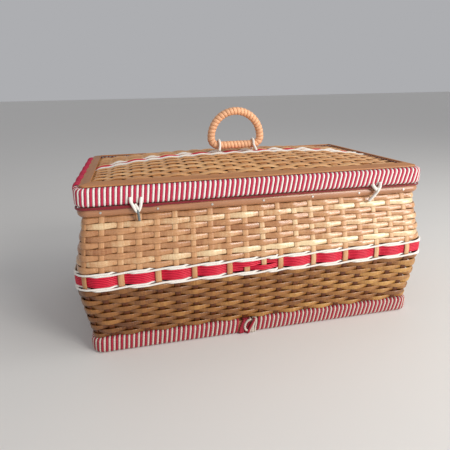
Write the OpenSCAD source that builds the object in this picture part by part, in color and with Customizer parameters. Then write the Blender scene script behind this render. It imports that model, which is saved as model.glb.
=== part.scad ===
// A lidded rectangular sewing basket of woven cane.
// The walls swell from a corded foot to a belly band and draw in again to a half-round rim.
// The lid is a domed woven panel in a corded frame, tied to the rim by two cords at the back,
// and it carries a cane-wound D handle in two cord ties.
// +X runs along the basket, +Z is up, and -Y is the side of the hinge ties.

/* [Basket] */
// Length over the corded foot
basket_len = 341; // [320:1:360]
// Depth over the corded foot
basket_dep = 201; // [185:1:220]
// Height of the rim's top
rim_top = 144.3; // [132:0.1:156]
// Outer radius of the foot's corners
corner_r = 11.5; // [11.3:0.1:12.5]
// How far the middle of the wall stands out at the belly, beyond its line at the foot
belly_out = 10; // [6:0.5:12]
// How far the middle of the wall is drawn in at the rim, from its line at the foot
rim_in = 2.4; // [1.5:0.1:3]
// Height of the middle of the red band
belly_z = 77.6; // [70:0.1:84]

/* [Weave] */
// Width of a stake
stake_w = 5.6; // [4.5:0.1:6.2]
// Thickness of a stake
stake_t = 1.3; // [1:0.1:1.6]
// Stakes on each long side, an even number
stakes_long = 20; // [18:2:20]
// Stakes on each short side, an odd number
stakes_short = 11; // [9:2:11]
// Thickness of a flat weaver
splint_t = 1.1; // [0.8:0.1:1.3]
// Rows of flat splints above the band
upper_rows = 9; // [7:1:10]
// Rows of narrow reeds below the band
lower_rows = 11; // [9:1:12]

/* [Belly band] */
// Red strands in the band
strand_count = 6; // [4:1:7]
// Height of one red strand with its gap
strand_pitch = 1.67; // [1.5:0.01:1.8]
// Thickness of a white twining cord
twine_d = 1.9; // [1.6:0.1:2.2]

/* [Foot and rim] */
// Height of the corded foot
foot_h = 15.7; // [13:0.1:18]
// Width of the corded foot, from outside to inside
foot_w = 9.4; // [9:0.1:9.8]
// Height of the rim hoops
rim_h = 9.3; // [8:0.1:10]
// Outer face of the rim hoop, inside the foot's outer face
rim_inset = 1.5; // [1:0.1:2.5]
// Thickness of the inner rim hoop
rim_inner_t = 3; // [2.4:0.1:3.2]

/* [Lid] */
// Height of the lid's corded edge
edge_h = 16.5; // [14:0.1:19]
// Width of the lid's corded edge
edge_w = 9.4; // [9:0.1:9.8]
// Outer face of the lid's edge, inside the foot's outer face
lid_inset = 0.5; // [0:0.1:1.5]
// Rise of the woven panel from its edge to the ridge
crown = 11.5; // [9:0.5:15]
// Front-to-back ribs in the lid
lid_ribs_n = 18; // [16:2:18]
// Rows of weavers on each side of the ridge band
lid_rows = 12; // [10:1:12]
// Distance between rows of weavers in the lid
lid_row_pitch = 6.2; // [5.8:0.1:6.4]
// Width of the flat strips that frame the woven panel
strip_w = 9.5; // [8:0.1:10]

/* [Cord lashing] */
// Distance between neighbouring white turns
turn_pitch = 5.4; // [5:0.1:6.5]
// Width of one turn of cord
cord_w = 2.6; // [2.2:0.1:2.8]
// How far a white turn stands out of the red ones
cord_proud = 0.45; // [0.3:0.05:0.6]

/* [Hinge ties] */
// Place of the left tie, measured from the foot's left end
tie_left_in = 58.5; // [40:0.5:80]
// Place of the right tie, measured from the foot's right end
tie_right_in = 51.5; // [40:0.5:80]
// Diameter of the tie cord
tie_d = 2.6; // [2.2:0.1:2.8]

/* [Handle] */
// Width of the handle over its winding
handle_w = 65; // [56:1:72]
// Height of the handle over its winding
handle_h = 45.2; // [42:0.1:52]
// Place of the handle along the basket
handle_x = -1.5; // [-10:0.5:10]
// Diameter of the handle over its winding
grip_d = 8.3; // [7.8:0.1:9]
// Width of the winding cane
cane_w = 2.3; // [1.8:0.1:2.4]
// Thickness of the winding cane
cane_t = 1.5; // [1.2:0.1:1.6]
// Radius of the handle's lower corners, along its middle
heel_r = 8; // [7.5:0.1:9]
// Turns of cane along half of the bar
turns_bar = 7; // [6:0.1:7]
// Turns of cane round one lower corner
turns_heel = 2.6; // [2.2:0.1:2.6]
// Turns of cane along the arch
turns_arch = 28; // [24:0.5:28]

/* [Hidden] */
$fn = 32;

// Clearances: a face that rests on another, a loose fit, and a gap between strands
seat = 0.1;
run = 0.3;
lap = 0.1;

// Colours
cane_light = "#d9b27c";
cane_mid = "#c08a52";
cane_dark = "#a9743c";
cord_red = "#b3203a";
cord_white = "#f1ece2";
cloth_red = "#9c1730";

// A place in the wall is its half length v; its half depth is v less half_diff
half_len = basket_len / 2;
half_diff = (basket_len - basket_dep) / 2;
corner_x = half_len - corner_r;

// Distance between the stakes of a side, whose wall lies less inside the half length
function pitch(count, less) = 2 * (corner_x - half_diff + less) / (count - 0.61);

// Middle line of the wall: upright in the foot, out to the belly, in to the rim, upright again
skin_t = 1.5;
wall_foot = half_len - 4.1;
wall_rim = wall_foot - rim_in;
rim_low = rim_top - rim_h;
swell = 1.5;
draw_in = 1.3;
function wall(z) = z < foot_h ? wall_foot
    : z < belly_z ? wall_foot + belly_out * (1 - pow((belly_z - z) / (belly_z - foot_h), swell))
    : z < rim_low ? wall_foot + belly_out
        - (belly_out + rim_in) * pow((z - belly_z) / (rim_low - belly_z), draw_in)
    : wall_rim;

// Heights of the rows
row_gap = 0.3;
band_h = strand_count * strand_pitch;
twine_h = 2 * twine_d + lap;
band_low = belly_z - band_h / 2;
band_high = belly_z + band_h / 2;
lower_low = foot_h + cord_proud + row_gap;
lower_high = band_low - twine_h - 2 * lap;
lower_pitch = (lower_high - lower_low) / lower_rows;
upper_low = band_high + twine_h + 2 * lap;
upper_high = rim_low - row_gap;
upper_pitch = (upper_high - upper_low) / upper_rows;

// A weaver's middle lies this far in or out of the wall's, with room for the wall's slope.
// What bends once over a stake lies further out, because it has to clear the stake's edges.
FLAT = [-1, 1];
BENT = [0];
slope_room = 0.65;
cord_room = 0.4;
over_edge = 1 / (1 - stake_w / min(pitch(stakes_long, half_diff), pitch(stakes_short, 0)));
strand_t = 1.5;
splint_out = stake_t / 2 + splint_t / 2 + lap + slope_room;
reed_out = splint_out * over_edge;
cord_out = (stake_t / 2 + twine_d / 2 + lap + cord_room) * over_edge;
strand_out = (stake_t / 2 + strand_t / 2 + lap + cord_room) * over_edge;

// Rim
rim_out = half_len - rim_inset;
stake_top = rim_top - 0.8;
stake_low = 4;

// Lid heights
lid_low = rim_top + run;
lid_top = lid_low + edge_h;
lid_out = half_len - lid_inset;
frame_t = 2.4;
frame_top = lid_top - skin_t;
frame_w = 2;
rib_t = 1.4;
rib_z = frame_top + seat + rib_t / 2;
rib_w = 5.6;
panel_x = lid_out - edge_w - 2.1;
rib_pitch = 2 * (panel_x - lap) / lid_ribs_n;
rib_end_y = lid_out - edge_w - half_diff - run;
panel_y = rib_end_y;
over_rib = 1 / (1 - rib_w / rib_pitch);
rib_room = 0.5;
function rib_rise(t) = (rib_t / 2 + lap + t / 2 + rib_room) * over_rib;
ridge_top = rib_z + crown + rib_rise(twine_d) + twine_d / 2;

// Height of the dome's middle line, lower to the edges and ends
function dome(x, y) = rib_z + crown * (1 - pow(min(1, abs(x) / panel_x), 3))
    * (1 - pow(min(1, abs(y) / panel_y), 2.6));

// Hinge axis, outside the lid's edge and a little below it
hinge_y = -(lid_out - half_diff) - 4.1;
hinge_z = lid_low - 2.1;
link_r = 0.75;
tie_left_x = tie_left_in - half_len;
tie_right_x = half_len - tie_right_in;

// Handle: middle line of the rod, with the bar's middle as its origin
grip_r = grip_d / 2;
bar_z = ridge_top + 0.5 + grip_r;
arch_r = handle_w / 2 - grip_r;
bar_half = arch_r - heel_r;
arch_z = handle_h - grip_d - arch_r;
wind_r = grip_r - cane_t / 2;
rod_r = wind_r - cane_t / 2 - 0.35;
tie_at = bar_half - 0.8;
tie_r = grip_r + 0.35 + tie_d / 2;

// Rounded rectangle, half length v at the middle of its long axis
module plate(v, r) {
    cx = v - r;
    cy = v - half_diff - r;
    square([2 * v, 2 * cy], center = true);
    square([2 * cx, 2 * (v - half_diff)], center = true);
    for (sx = [-1, 1], sy = [-1, 1]) translate([sx * cx, sy * cy]) circle(r, $fn = 48);
}

// Sweeps a profile, drawn as (half length, height), round the basket with corners centred at cx
module round_basket(cx) {
    cy = cx - half_diff;
    for (s = [0, 1]) mirror([s, 0, 0])
        rotate([90, 0, 0]) linear_extrude(2 * cy, center = true) children();
    for (s = [0, 1]) mirror([0, s, 0])
        rotate([90, 0, 90]) linear_extrude(2 * cx, center = true) translate([-half_diff, 0]) children();
    for (sx = [0, 1], sy = [0, 1]) mirror([sx, 0, 0]) mirror([0, sy, 0])
        translate([cx, cy, 0]) rotate_extrude(angle = 90, $fn = 48) translate([-cx, 0]) children();
}

// Box profile from v0 to v1 and z0 to z1
module bar_profile(v0, v1, z0, z1) {
    translate([v0, z0]) square([v1 - v0, z1 - z0]);
}

// Profile of a lashing with bevelled edges; grow makes it larger all round
module lash_profile(v0, v1, z0, z1, grow = 0, bevel = 2.6) {
    b = bevel;
    g = grow;
    polygon([[v0 + b, z0 - g], [v1 - b, z0 - g], [v1 + g, z0 + b], [v1 + g, z1 - b],
        [v1 - b, z1 + g], [v0 + b, z1 + g], [v0 - g, z1 - b], [v0 - g, z0 + b]]);
}

// Lays slices of a profile across the edge, side by side round the basket with even gaps
module turns_round(v) {
    cy = corner_x - half_diff;
    arc_n = round(PI / 2 * (v - corner_x) / turn_pitch);
    wedge = cord_w / (v - corner_x) * 180 / PI;
    for (side = [[0, cy, 0], [90, corner_x, half_diff]], s = [0, 1]) {
        n = round(2 * side[1] / turn_pitch);
        for (i = [0 : n - 1]) mirror([s * (1 - side[0] / 90), s * side[0] / 90, 0])
            rotate(side[0]) translate([-side[2], (i + 0.5 - n / 2) * 2 * side[1] / n, 0])
                rotate([90, 0, 0]) linear_extrude(cord_w, center = true) children();
    }
    for (sx = [0, 1], sy = [0, 1], i = [0 : arc_n - 1])
        mirror([sx, 0, 0]) mirror([0, sy, 0]) translate([corner_x, cy, 0])
            rotate((i + 0.5) * 90 / arc_n - wedge / 2)
                rotate_extrude(angle = wedge, $fn = 48) translate([-corner_x, 0]) children();
}

// Cord with round ends and bends through a list of points
module cord(points, r) {
    for (i = [1 : len(points) - 1]) {
        p = points[i - 1];
        d = points[i] - p;
        l = norm(d);
        translate(p) rotate([0, acos(d[2] / l), atan2(d[1], d[0])]) cylinder(l, r, r, $fn = 24);
    }
    for (p = points) translate(p) sphere(r, $fn = 24);
}

// Outline of one weaver row at height z. The row passes outside every other stake, and the
// next row (odd or even) inside it. A splint lies flat on the stake, with a bend at each of its
// edges; a reed or cord bends once, over the stake's middle. out is how far it leaves the wall.
SIDES = [[stakes_long, 0, 0, 1, 0], [stakes_short, stakes_long, 1, 0, 90],
    [stakes_long, stakes_long + stakes_short, 0, 1, 180],
    [stakes_short, 2 * stakes_long + stakes_short, 1, 0, 270]];
function turned(p, a) = [p[0] * cos(a) + p[1] * sin(a), p[1] * cos(a) - p[0] * sin(a)];
function phase(k, row) = (k + row) % 2 == 0 ? 1 : -1;
function side_points(side, z, row, out, off, ends) =
    let (v = wall(z), flat = side[2] == 0,
        step = pitch(side[0], flat ? half_diff : 0),
        n = flat ? v - half_diff : v,
        cu = flat ? corner_x : corner_x - half_diff,
        cn = flat ? corner_x - half_diff : corner_x)
    [for (i = [0 : side[0] - 1], e = ends)
        turned([(i - (side[0] - 1) / 2) * step + e * stake_w / 2,
            n + phase(side[1] + i, row) * out + off], side[4]),
     for (a = [0, 45, 90])
        let (r = n - cn + phase(side[1] + side[0] - 1, row) * out * cos(2 * a) + off)
        turned([cu + r * sin(a), cn + r * cos(a)], side[4])];
function ring_points(z, row, out, off, ends) =
    [for (side = SIDES) each side_points(side, z, row, out, off, ends)];
module ring(z0, h, row, out, t, ends) {
    z = z0 + h / 2;
    translate([0, 0, z0]) linear_extrude(h) difference() {
        polygon(ring_points(z, row, out, t / 2, ends));
        polygon(ring_points(z, row, out, -t / 2, ends));
    }
}

// Upright stakes of one side: strips bent to the wall's line
bends = 3;
STAKE_Z = [stake_low, for (i = [0 : bends - 1]) foot_h + (belly_z - foot_h) * i / bends,
    for (i = [0 : bends]) belly_z + (rim_low - belly_z) * i / bends, stake_top];
module stakes(count, v_less) {
    line = [for (z = STAKE_Z) [wall(z) - v_less, z]];
    for (i = [0 : count - 1]) translate([0, (i - (count - 1) / 2) * pitch(count, v_less), 0])
        rotate([90, 0, 0]) linear_extrude(stake_w, center = true) polygon([
            for (p = line) p + [stake_t / 2, 0],
            for (i = [len(line) - 1 : -1 : 0]) line[i] - [stake_t / 2, 0]]);
}

// Hollow profile of a lashed edge, with room inside for its hoop
module hollow_lash(v0, v1, z0, z1) {
    difference() {
        lash_profile(v0, v1, z0, z1);
        bar_profile(v0 + skin_t, v1 - skin_t, z0 + skin_t, z1 - skin_t);
    }
}

foot_in = half_len - foot_w;
lid_in = lid_out - edge_w;
slot_in = wall_foot - stake_t / 2 - lap;
slot_out = wall_foot + stake_t / 2 + lap;

// Basket
module base_panel() {
    color(cane_mid) translate([0, 0, 4]) linear_extrude(3) plate(foot_in - lap, 2);
}
module foot_hoop_outer() {
    color(cane_mid) round_basket(corner_x)
        bar_profile(slot_out, half_len - skin_t - lap, skin_t + lap, foot_h - skin_t - lap);
}
module foot_hoop_inner() {
    color(cane_mid) round_basket(corner_x)
        bar_profile(foot_in + skin_t + lap, slot_in, skin_t + lap, foot_h - skin_t - lap);
}
module foot_wrap_red() {
    color(cord_red) round_basket(corner_x) difference() {
        hollow_lash(foot_in, half_len, 0, foot_h);
        bar_profile(slot_in, slot_out, foot_h / 2, foot_h + 1);
    }
}
module foot_wrap_white() {
    color(cord_white) turns_round(half_len) difference() {
        lash_profile(foot_in, half_len, 0, foot_h, cord_proud);
        lash_profile(foot_in, half_len, 0, foot_h, lap);
        bar_profile(foot_in - 2, slot_out, -1, foot_h + 2);
        bar_profile(foot_in - 2, half_len + 2, -2, 2.6);
    }
}
module stakes_front() {
    color(cane_mid) rotate(-90) stakes(stakes_long, half_diff);
}
module stakes_back() {
    color(cane_mid) rotate(90) stakes(stakes_long, half_diff);
}
module stakes_left() {
    color(cane_mid) rotate(180) stakes(stakes_short, 0);
}
module stakes_right() {
    color(cane_mid) stakes(stakes_short, 0);
}
module lower_weavers() {
    color(cane_dark) for (i = [0 : lower_rows - 1])
        ring(lower_low + i * lower_pitch, lower_pitch - row_gap, i, reed_out, splint_t, BENT);
}
module upper_weavers() {
    color(cane_light) for (i = [0 : upper_rows - 1])
        ring(upper_low + i * upper_pitch, upper_pitch - row_gap, i, splint_out, splint_t, FLAT);
}
module twine(z0) {
    for (i = [0, 1]) ring(z0 + i * (twine_d + lap), twine_d, i, cord_out, twine_d, BENT);
}
module band_twine_lower() {
    color(cord_white) twine(band_low - twine_h - lap);
}
module band_twine_upper() {
    color(cord_white) twine(band_high + lap);
}
module band_strands() {
    color(cord_red) for (i = [0 : strand_count - 1])
        ring(band_low + i * strand_pitch, strand_pitch - lap, 0, strand_out, strand_t, BENT);
}
module rim_hoop_outer() {
    color(cane_mid) round_basket(corner_x) intersection() {
        translate([rim_out - rim_h / 2, rim_low + rim_h / 2]) circle(rim_h / 2, $fn = 48);
        bar_profile(wall_rim + stake_t / 2 + lap, rim_out, rim_low, rim_top);
    }
}
module rim_hoop_inner() {
    color(cane_mid) round_basket(corner_x - 1) bar_profile(wall_rim - stake_t / 2 - lap - rim_inner_t,
        wall_rim - stake_t / 2 - lap, rim_low, rim_top);
}
pin_count = 7;
pin_pitch = (basket_len - 44) / 6;
pin_r = 1;
module rim_pins() {
    color("silver") for (side = [[0, 3, 0], [90, pin_count, half_diff]], s = [0, 1],
        i = [0 : side[1] - 1])
        mirror([s * (1 - side[0] / 90), s * side[0] / 90, 0]) rotate(side[0])
            translate([rim_out - side[2] + seat / 2, (i - (side[1] - 1) / 2) * pin_pitch,
                rim_low + rim_h / 2]) rotate([0, 90, 0]) cylinder(0.5, pin_r, pin_r);
}
lining_t = 1;
lining_low = 7.2;
lining_gap = max(reed_out + splint_t / 2, cord_out + twine_d / 2) + 0.3;
lining_steps = 8;
lining_top = rim_low - 1;
lining_lip = wall_rim - stake_t / 2 - lap - rim_inner_t - seat;
lining_foot = foot_in - run;
function lining_z(i) = foot_h + 1 + (lining_top - foot_h - 1) * i / lining_steps;
module basket_lining() {
    line = [[lining_foot, lining_low], [lining_foot, foot_h],
        for (i = [0 : lining_steps]) [wall(lining_z(i)) - lining_gap, lining_z(i)],
        [lining_lip, rim_low - 0.5], [lining_lip, rim_top]];
    last = len(line) - 1;
    color(cloth_red) {
        round_basket(lining_lip - 6) polygon([for (p = line) p,
            for (i = [last : -1 : 0]) line[i] - [lining_t, 0]]);
        translate([0, 0, lining_low]) linear_extrude(lining_t)
            plate(lining_foot - lining_t / 2, 8);
    }
}

// Lid
module lid_hoop() {
    color(cane_mid) round_basket(corner_x) bar_profile(lid_in + skin_t + lap,
        lid_out - skin_t - lap, lid_low + cord_proud + skin_t + lap, lid_top - skin_t - lap);
}
module lid_wrap_red() {
    color(cord_red) round_basket(corner_x) hollow_lash(lid_in, lid_out, lid_low + cord_proud, lid_top);
}
module lid_wrap_white() {
    color(cord_white) turns_round(lid_out) difference() {
        lash_profile(lid_in, lid_out, lid_low + cord_proud, lid_top, cord_proud);
        lash_profile(lid_in, lid_out, lid_low + cord_proud, lid_top, lap);
        bar_profile(lid_in - 2, lid_in + 2.6, lid_low - 2, lid_top + 2);
    }
}
module lid_frame() {
    color(cane_mid) translate([0, 0, frame_top - frame_t]) linear_extrude(frame_t) difference() {
        plate(lid_in - cord_proud - run, 1);
        plate(lid_in - cord_proud - frame_w, 1);
    }
}

// A flat strip that leans in over the ends of the ribs, mitred at 45 degrees at the corners
strip_out = lid_out - 5;
strip_rise = 0.19;
strip_t = 1.4;
module strip(less, long) {
    w = strip_w;
    intersection() {
        rotate([90, 0, 0]) linear_extrude(2 * long, center = true)
            translate([strip_out - less, lid_top + cord_proud + seat])
            polygon([[0, 0], [0, strip_t], [-w, strip_t + w * strip_rise], [-w, w * strip_rise]]);
        translate([0, 0, lid_top]) linear_extrude(8) polygon([
            [strip_out - less + 1, long + 1 - lap], [strip_out - less + 1, -long - 1 + lap],
            [strip_out - less - 20, -long + 20 + lap], [strip_out - less - 20, long - 20 - lap]]);
        translate([0, 0, lid_top]) linear_extrude(8) rotate(less > 0 ? 90 : 0) plate(strip_out, 6);
    }
}
module lid_strip_front() {
    color(cane_light) rotate(-90) strip(half_diff, strip_out);
}
module lid_strip_back() {
    color(cane_light) rotate(90) strip(half_diff, strip_out);
}
module lid_strip_left() {
    color(cane_light) rotate(180) strip(0, strip_out - half_diff);
}
module lid_strip_right() {
    color(cane_light) strip(0, strip_out - half_diff);
}
rib_steps = 12;
module lid_ribs() {
    for (k = [0 : lid_ribs_n - 1]) {
        x = (k - (lid_ribs_n - 1) / 2) * rib_pitch;
        line = [for (i = [0 : rib_steps]) let (y = rib_end_y * (2 * i / rib_steps - 1)) [y, dome(x, y)]];
        color(cane_dark) translate([x, 0, 0]) rotate([90, 0, 90]) linear_extrude(rib_w, center = true)
            polygon([for (p = line) p - [0, rib_t / 2],
                for (i = [rib_steps : -1 : 0]) line[i] + [0, rib_t / 2]]);
    }
}

// One strand along the lid at depth y: over and under the ribs, flat at its ends.
// It leans by half of the dome's steepest slope there.
module lid_strand(y, row, w, t) {
    lean = atan(dome(0, y + 0.5) - dome(0, y - 0.5)) / 2;
    mid = rib_z + crown / 2;
    end = t / 2 - rib_t / 2 + run;
    line = [[-panel_x, end], for (k = [0 : lid_ribs_n - 1])
        [(k - (lid_ribs_n - 1) / 2) * rib_pitch, phase(k, row) * rib_rise(t)], [panel_x, end]];
    path = [for (p = line) [p[0], (dome(p[0], y) - mid) / cos(lean) + p[1]]];
    translate([0, y, mid]) rotate([90 + lean, 0, 0]) linear_extrude(w, center = true)
        polygon([for (p = path) p - [0, t / 2],
            for (i = [len(path) - 1 : -1 : 0]) path[i] + [0, t / 2]]);
}
lid_strand_pitch = 2.4;
lid_twine_y = strand_count * lid_strand_pitch / 2 + twine_d / 2 + lap;
lid_row_y = lid_twine_y + 1.5 * twine_d + lap + lid_row_pitch / 2;
lid_splint_w = 5;
module lid_weavers() {
    color(cane_mid) for (s = [-1, 1], i = [0 : lid_rows - 1])
        lid_strand(s * (lid_row_y + i * lid_row_pitch), i, lid_splint_w, splint_t);
}
module lid_twine(s) {
    for (i = [0, 1]) lid_strand(s * (lid_twine_y + i * (twine_d + lap)), i, twine_d, twine_d);
}
module lid_twine_near() {
    color(cord_white) lid_twine(-1);
}
module lid_twine_far() {
    color(cord_white) lid_twine(1);
}
module lid_strands() {
    color(cord_red) for (i = [0 : strand_count - 1])
        lid_strand((i - (strand_count - 1) / 2) * lid_strand_pitch, 1, lid_strand_pitch - 0.4,
            strand_t);
}
module lid_lining() {
    color(cloth_red) translate([0, 0, frame_top - frame_t - seat - 1.2]) linear_extrude(1.2)
        plate(lid_in - cord_proud - run, 1);
}

// Hinge ties: a V of cord from the lid, and a link of the basket's cord round its lowest stretch.
// The V lies in a plane that leans from the hinge axis back to the face of the lid's edge.
tie_r_cord = tie_d / 2;
pin_half = 1.2;
bend_r = 1.8;
leg_lean = 35;
leg_top_y = -(lid_out - half_diff) - cord_proud - tie_r_cord - seat;
leg_top_z = lid_low + 3.4;
plane_lean = atan2(leg_top_z - hinge_z, leg_top_y - hinge_y);
plane_h = norm([leg_top_z - hinge_z, leg_top_y - hinge_y]);
leg_l = (plane_h - bend_r * (1 - sin(leg_lean))) / cos(leg_lean);
module hinge_loop(x) {
    translate([x, hinge_y, hinge_z]) rotate([plane_lean, 0, 0]) {
        rotate([0, 90, 0]) cylinder(2 * pin_half, tie_r_cord, tie_r_cord, center = true, $fn = 24);
        for (s = [0, 1]) mirror([s, 0, 0]) translate([pin_half, bend_r, 0]) {
            rotate(-90) rotate_extrude(angle = 90 - leg_lean, $fn = 48)
                translate([bend_r, 0]) circle(tie_r_cord, $fn = 24);
            rotate(-leg_lean) translate([bend_r, 0, 0]) rotate([-90, 0, 0])
                cylinder(leg_l, tie_r_cord, tie_r_cord, $fn = 24);
        }
    }
}
link_ring = tie_r_cord + 0.15 + link_r;
module hinge_link(x) {
    translate([x, hinge_y, hinge_z]) rotate([0, 90, 0])
        rotate_extrude($fn = 48) translate([link_ring, 0]) circle(link_r, $fn = 24);
    cord([[x, hinge_y, hinge_z - link_ring], [x, -(rim_out - half_diff) - link_r - seat, rim_low]], link_r);
}
module hinge_loop_left() {
    color(cord_white) hinge_loop(tie_left_x);
}
module hinge_loop_right() {
    color(cord_white) hinge_loop(tie_right_x);
}
module hinge_link_left() {
    color(cord_white) hinge_link(tie_left_x);
}
module hinge_link_right() {
    color(cord_white) hinge_link(tie_right_x);
}

// Handle ties: over the bar and down to the white twines on both sides
foot_y = lid_twine_y + twine_d / 2 + lap / 2;
function twine_top(x) = let (u = x / rib_pitch + (lid_ribs_n - 1) / 2, f = u - floor(u))
    dome(x, foot_y) + abs(1 - 2 * f) * rib_rise(twine_d) + twine_d / 2;
module handle_tie(x) {
    foot_z = twine_top(x) + tie_r_cord + 2 * seat;
    color(cord_white) translate([x, 0, 0]) {
        translate([0, 0, bar_z]) rotate([90, 0, 90]) rotate_extrude(angle = 180, $fn = 48)
            translate([tie_r, 0]) circle(tie_r_cord, $fn = 24);
        for (s = [-1, 1]) cord([[0, s * tie_r, bar_z], [0, s * foot_y, foot_z]], tie_r_cord);
    }
}
module handle_tie_left() {
    handle_tie(handle_x - tie_at);
}
module handle_tie_right() {
    handle_tie(handle_x + tie_at);
}

// Handle: a D of rod, wound with one length of cane
module handle_core() {
    color(cane_dark) translate([handle_x, 0, bar_z]) rotate([90, 0, 0]) {
        translate([-bar_half, 0, 0]) rotate([0, 90, 0]) cylinder(2 * bar_half, rod_r, rod_r, $fn = 24);
        for (s = [0, 1]) mirror([s, 0, 0]) {
            translate([bar_half, heel_r, 0]) rotate(-90) rotate_extrude(angle = 90, $fn = 48)
                translate([heel_r, 0]) circle(rod_r, $fn = 24);
            translate([arch_r, heel_r, 0]) rotate([-90, 0, 0])
                cylinder(arch_z - heel_r, rod_r, rod_r, $fn = 24);
        }
        translate([0, arch_z, 0]) rotate_extrude(angle = 180, $fn = 96)
            translate([arch_r, 0]) circle(rod_r, $fn = 24);
    }
}

// The winding's path: five stretches of the D, each with its length and its turns
leg_len = arch_z - heel_r;
turns_leg = leg_len / (PI * arch_r) * turns_arch;
arch_part = PI * arch_r + 2 * leg_len;
STRETCH = [[bar_half, turns_bar], [PI / 2 * heel_r, turns_heel], [arch_part, turns_arch],
    [PI / 2 * heel_r, turns_heel], [bar_half, turns_bar]];
function upto(n, i) = i == 0 ? 0 : STRETCH[i - 1][n] + upto(n, i - 1);
turns_all = upto(1, 5);
function stretch_of(t, i = 0) = i == 4 || t <= upto(1, i + 1) ? i : stretch_of(t, i + 1);
function along(t) = let (i = stretch_of(t)) upto(0, i) + (t - upto(1, i)) * STRETCH[i][0] / STRETCH[i][1];
// Place and outward direction on the D at arc length s: [x, z, angle of the outward direction]
function d_at(s) =
    let (heel = PI / 2 * heel_r, e1 = bar_half, e2 = e1 + heel, e3 = e2 + leg_len,
        e4 = e3 + PI * arch_r, e5 = e4 + leg_len, e6 = e5 + heel)
    s < e1 ? [s, 0, -90]
    : s < e2 ? let (a = (s - e1) / heel_r * 180 / PI - 90)
        [bar_half + heel_r * cos(a), heel_r + heel_r * sin(a), a]
    : s < e3 ? [arch_r, heel_r + s - e2, 0]
    : s < e4 ? let (a = (s - e3) / arch_r * 180 / PI) [arch_r * cos(a), arch_z + arch_r * sin(a), a]
    : s < e5 ? [-arch_r, arch_z - (s - e4), 180]
    : s < e6 ? let (a = 180 + (s - e5) / heel_r * 180 / PI)
        [-bar_half + heel_r * cos(a), heel_r + heel_r * sin(a), a]
    : [s - e6 - bar_half, 0, 270];
rings_turn = 7;
ring_last = floor(turns_all * rings_turn);
wind_tilt = 8;
function wind_mid(t) = let (p = d_at(along(t)), f = 360 * t, c = cos(f) * wind_r)
    [p[0] + c * cos(p[2]), sin(f) * wind_r, p[1] + c * sin(p[2])];
function wind_ring(t) =
    let (p = d_at(along(t)), f = 360 * t,
        n = [cos(p[2]), 0, sin(p[2])], g = [-sin(p[2]), 0, cos(p[2])], y = [0, 1, 0],
        r = cos(f) * n + sin(f) * y, w = cos(wind_tilt) * g - sin(wind_tilt) * (cos(f) * y - sin(f) * n))
    [for (a = [0 : 60 : 300]) wind_mid(t) + cane_t / 2 * cos(a) * r + cane_w / 2 * sin(a) * w];
module tube(rings) {
    m = len(rings[0]);
    last = len(rings) - 1;
    polyhedron([for (ring = rings) each ring], concat(
        [for (i = [0 : last - 1], j = [0 : m - 1])
            [i * m + j, i * m + (j + 1) % m, (i + 1) * m + (j + 1) % m]],
        [for (i = [0 : last - 1], j = [0 : m - 1])
            [i * m + j, (i + 1) * m + (j + 1) % m, (i + 1) * m + j]],
        [for (j = [1 : m - 2]) [0, j + 1, j]],
        [for (j = [1 : m - 2]) [last * m, last * m + j, last * m + j + 1]]));
}
// Each end of the cane runs straight on for its own width
function moved(ring, d) = [for (p = ring) p + d];
function unit(v) = v / norm(v);
module handle_wrap() {
    first = wind_ring(0);
    end = wind_ring(ring_last / rings_turn);
    step = 0.01;
    out = unit(wind_mid(0) - wind_mid(step)) * cane_w;
    out_end = unit(wind_mid(ring_last / rings_turn) - wind_mid(ring_last / rings_turn - step)) * cane_w;
    color(cane_mid) translate([handle_x, 0, bar_z]) tube([moved(first, out),
        for (i = [0 : ring_last]) wind_ring(i / rings_turn), moved(end, out_end)]);
}
echo(winding_turns = turns_all, least_gap = min([for (i = [0 : ring_last - rings_turn])
    norm(wind_mid(i / rings_turn) - wind_mid(i / rings_turn + 1)) - cane_w]));

base_panel();
foot_hoop_outer();
foot_hoop_inner();
foot_wrap_red();
foot_wrap_white();
stakes_front();
stakes_back();
stakes_left();
stakes_right();
lower_weavers();
band_twine_lower();
band_strands();
band_twine_upper();
upper_weavers();
rim_hoop_outer();
rim_hoop_inner();
rim_pins();
basket_lining();
hinge_link_left();
hinge_link_right();
lid_hoop();
lid_wrap_red();
lid_wrap_white();
lid_frame();
lid_strip_front();
lid_strip_back();
lid_strip_left();
lid_strip_right();
lid_ribs();
lid_weavers();
lid_twine_near();
lid_strands();
lid_twine_far();
lid_lining();
hinge_loop_left();
hinge_loop_right();
handle_tie_left();
handle_tie_right();
handle_core();
handle_wrap();
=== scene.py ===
"""Dresses the lidded sewing basket: woven cane, cord lashings, cloth lining and a cane-wound handle.

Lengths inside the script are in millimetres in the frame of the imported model. They become metres
where a mesh is made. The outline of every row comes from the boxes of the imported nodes.
"""
import math

import bpy
import numpy as np
from mathutils import Matrix, Vector


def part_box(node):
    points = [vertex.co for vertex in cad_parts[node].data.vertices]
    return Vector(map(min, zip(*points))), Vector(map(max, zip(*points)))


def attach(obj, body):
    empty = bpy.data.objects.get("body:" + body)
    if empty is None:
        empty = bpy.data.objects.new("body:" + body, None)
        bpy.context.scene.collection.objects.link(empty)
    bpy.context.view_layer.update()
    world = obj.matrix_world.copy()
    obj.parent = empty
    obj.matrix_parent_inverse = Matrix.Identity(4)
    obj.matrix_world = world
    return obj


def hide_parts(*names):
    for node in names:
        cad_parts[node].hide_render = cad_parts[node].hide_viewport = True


bl_info = {
    "name": "Sewing Basket Dress",
    "version": (1, 0, 0),
    "blender": (4, 5, 0),
    "location": "View3D > Sidebar > Basket",
    "description": "Weave, lashings, lining and finishes of a lidded sewing basket",
    "category": "Object",
}

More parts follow.
